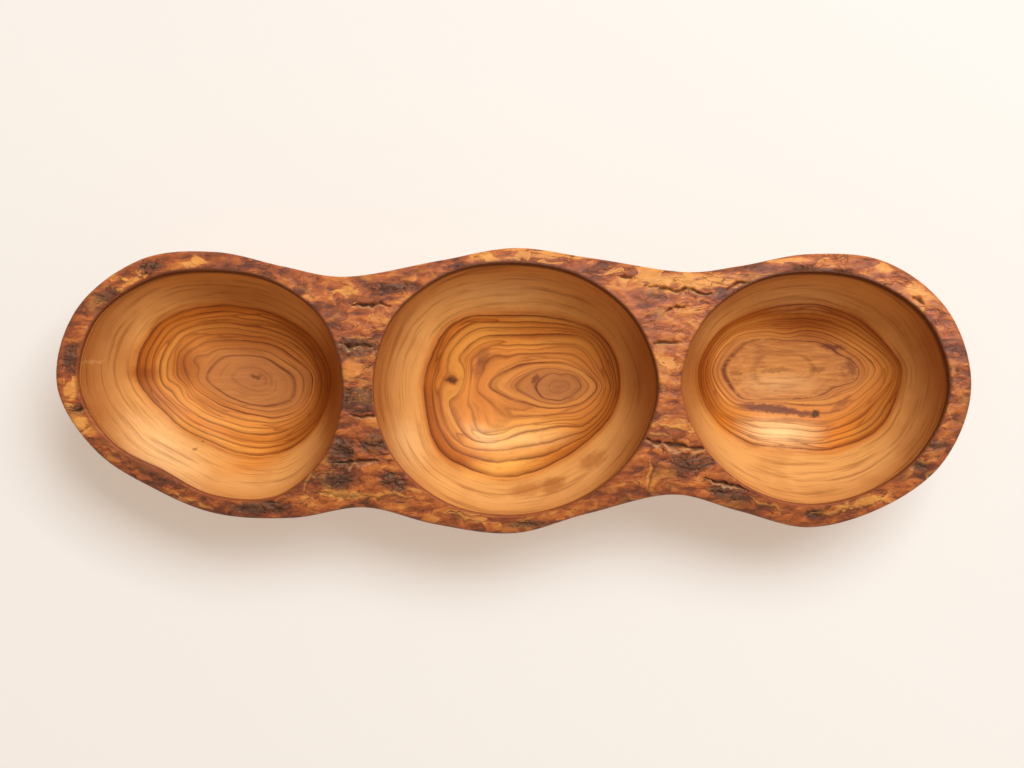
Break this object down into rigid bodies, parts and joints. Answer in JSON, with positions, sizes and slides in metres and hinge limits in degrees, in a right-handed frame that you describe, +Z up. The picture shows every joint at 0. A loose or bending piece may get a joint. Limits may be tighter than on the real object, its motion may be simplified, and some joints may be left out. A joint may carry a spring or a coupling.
{
  "type": "appetizer dish",
  "caption": "Long olive wood serving dish with bowls carved in a row, natural bark left on the rim and a flat base to rest on.",
  "frame": {"origin": "on the table under the middle of the dish's outline", "axes": "+X along the row of bowls, towards the rounder end bowl; +Y across the dish; +Z up out of the bowls"},
  "size_m": [0.3612, 0.1144, 0.0521],
  "materials": {
    "olive_wood": "sanded and oiled, satin",
    "bark": "natural bark, brushed and oiled"
  },
  "bodies": {
    "root": {"carved_body": "olive_wood", "bark_rim": "bark"}
  },
  "joints": []
}
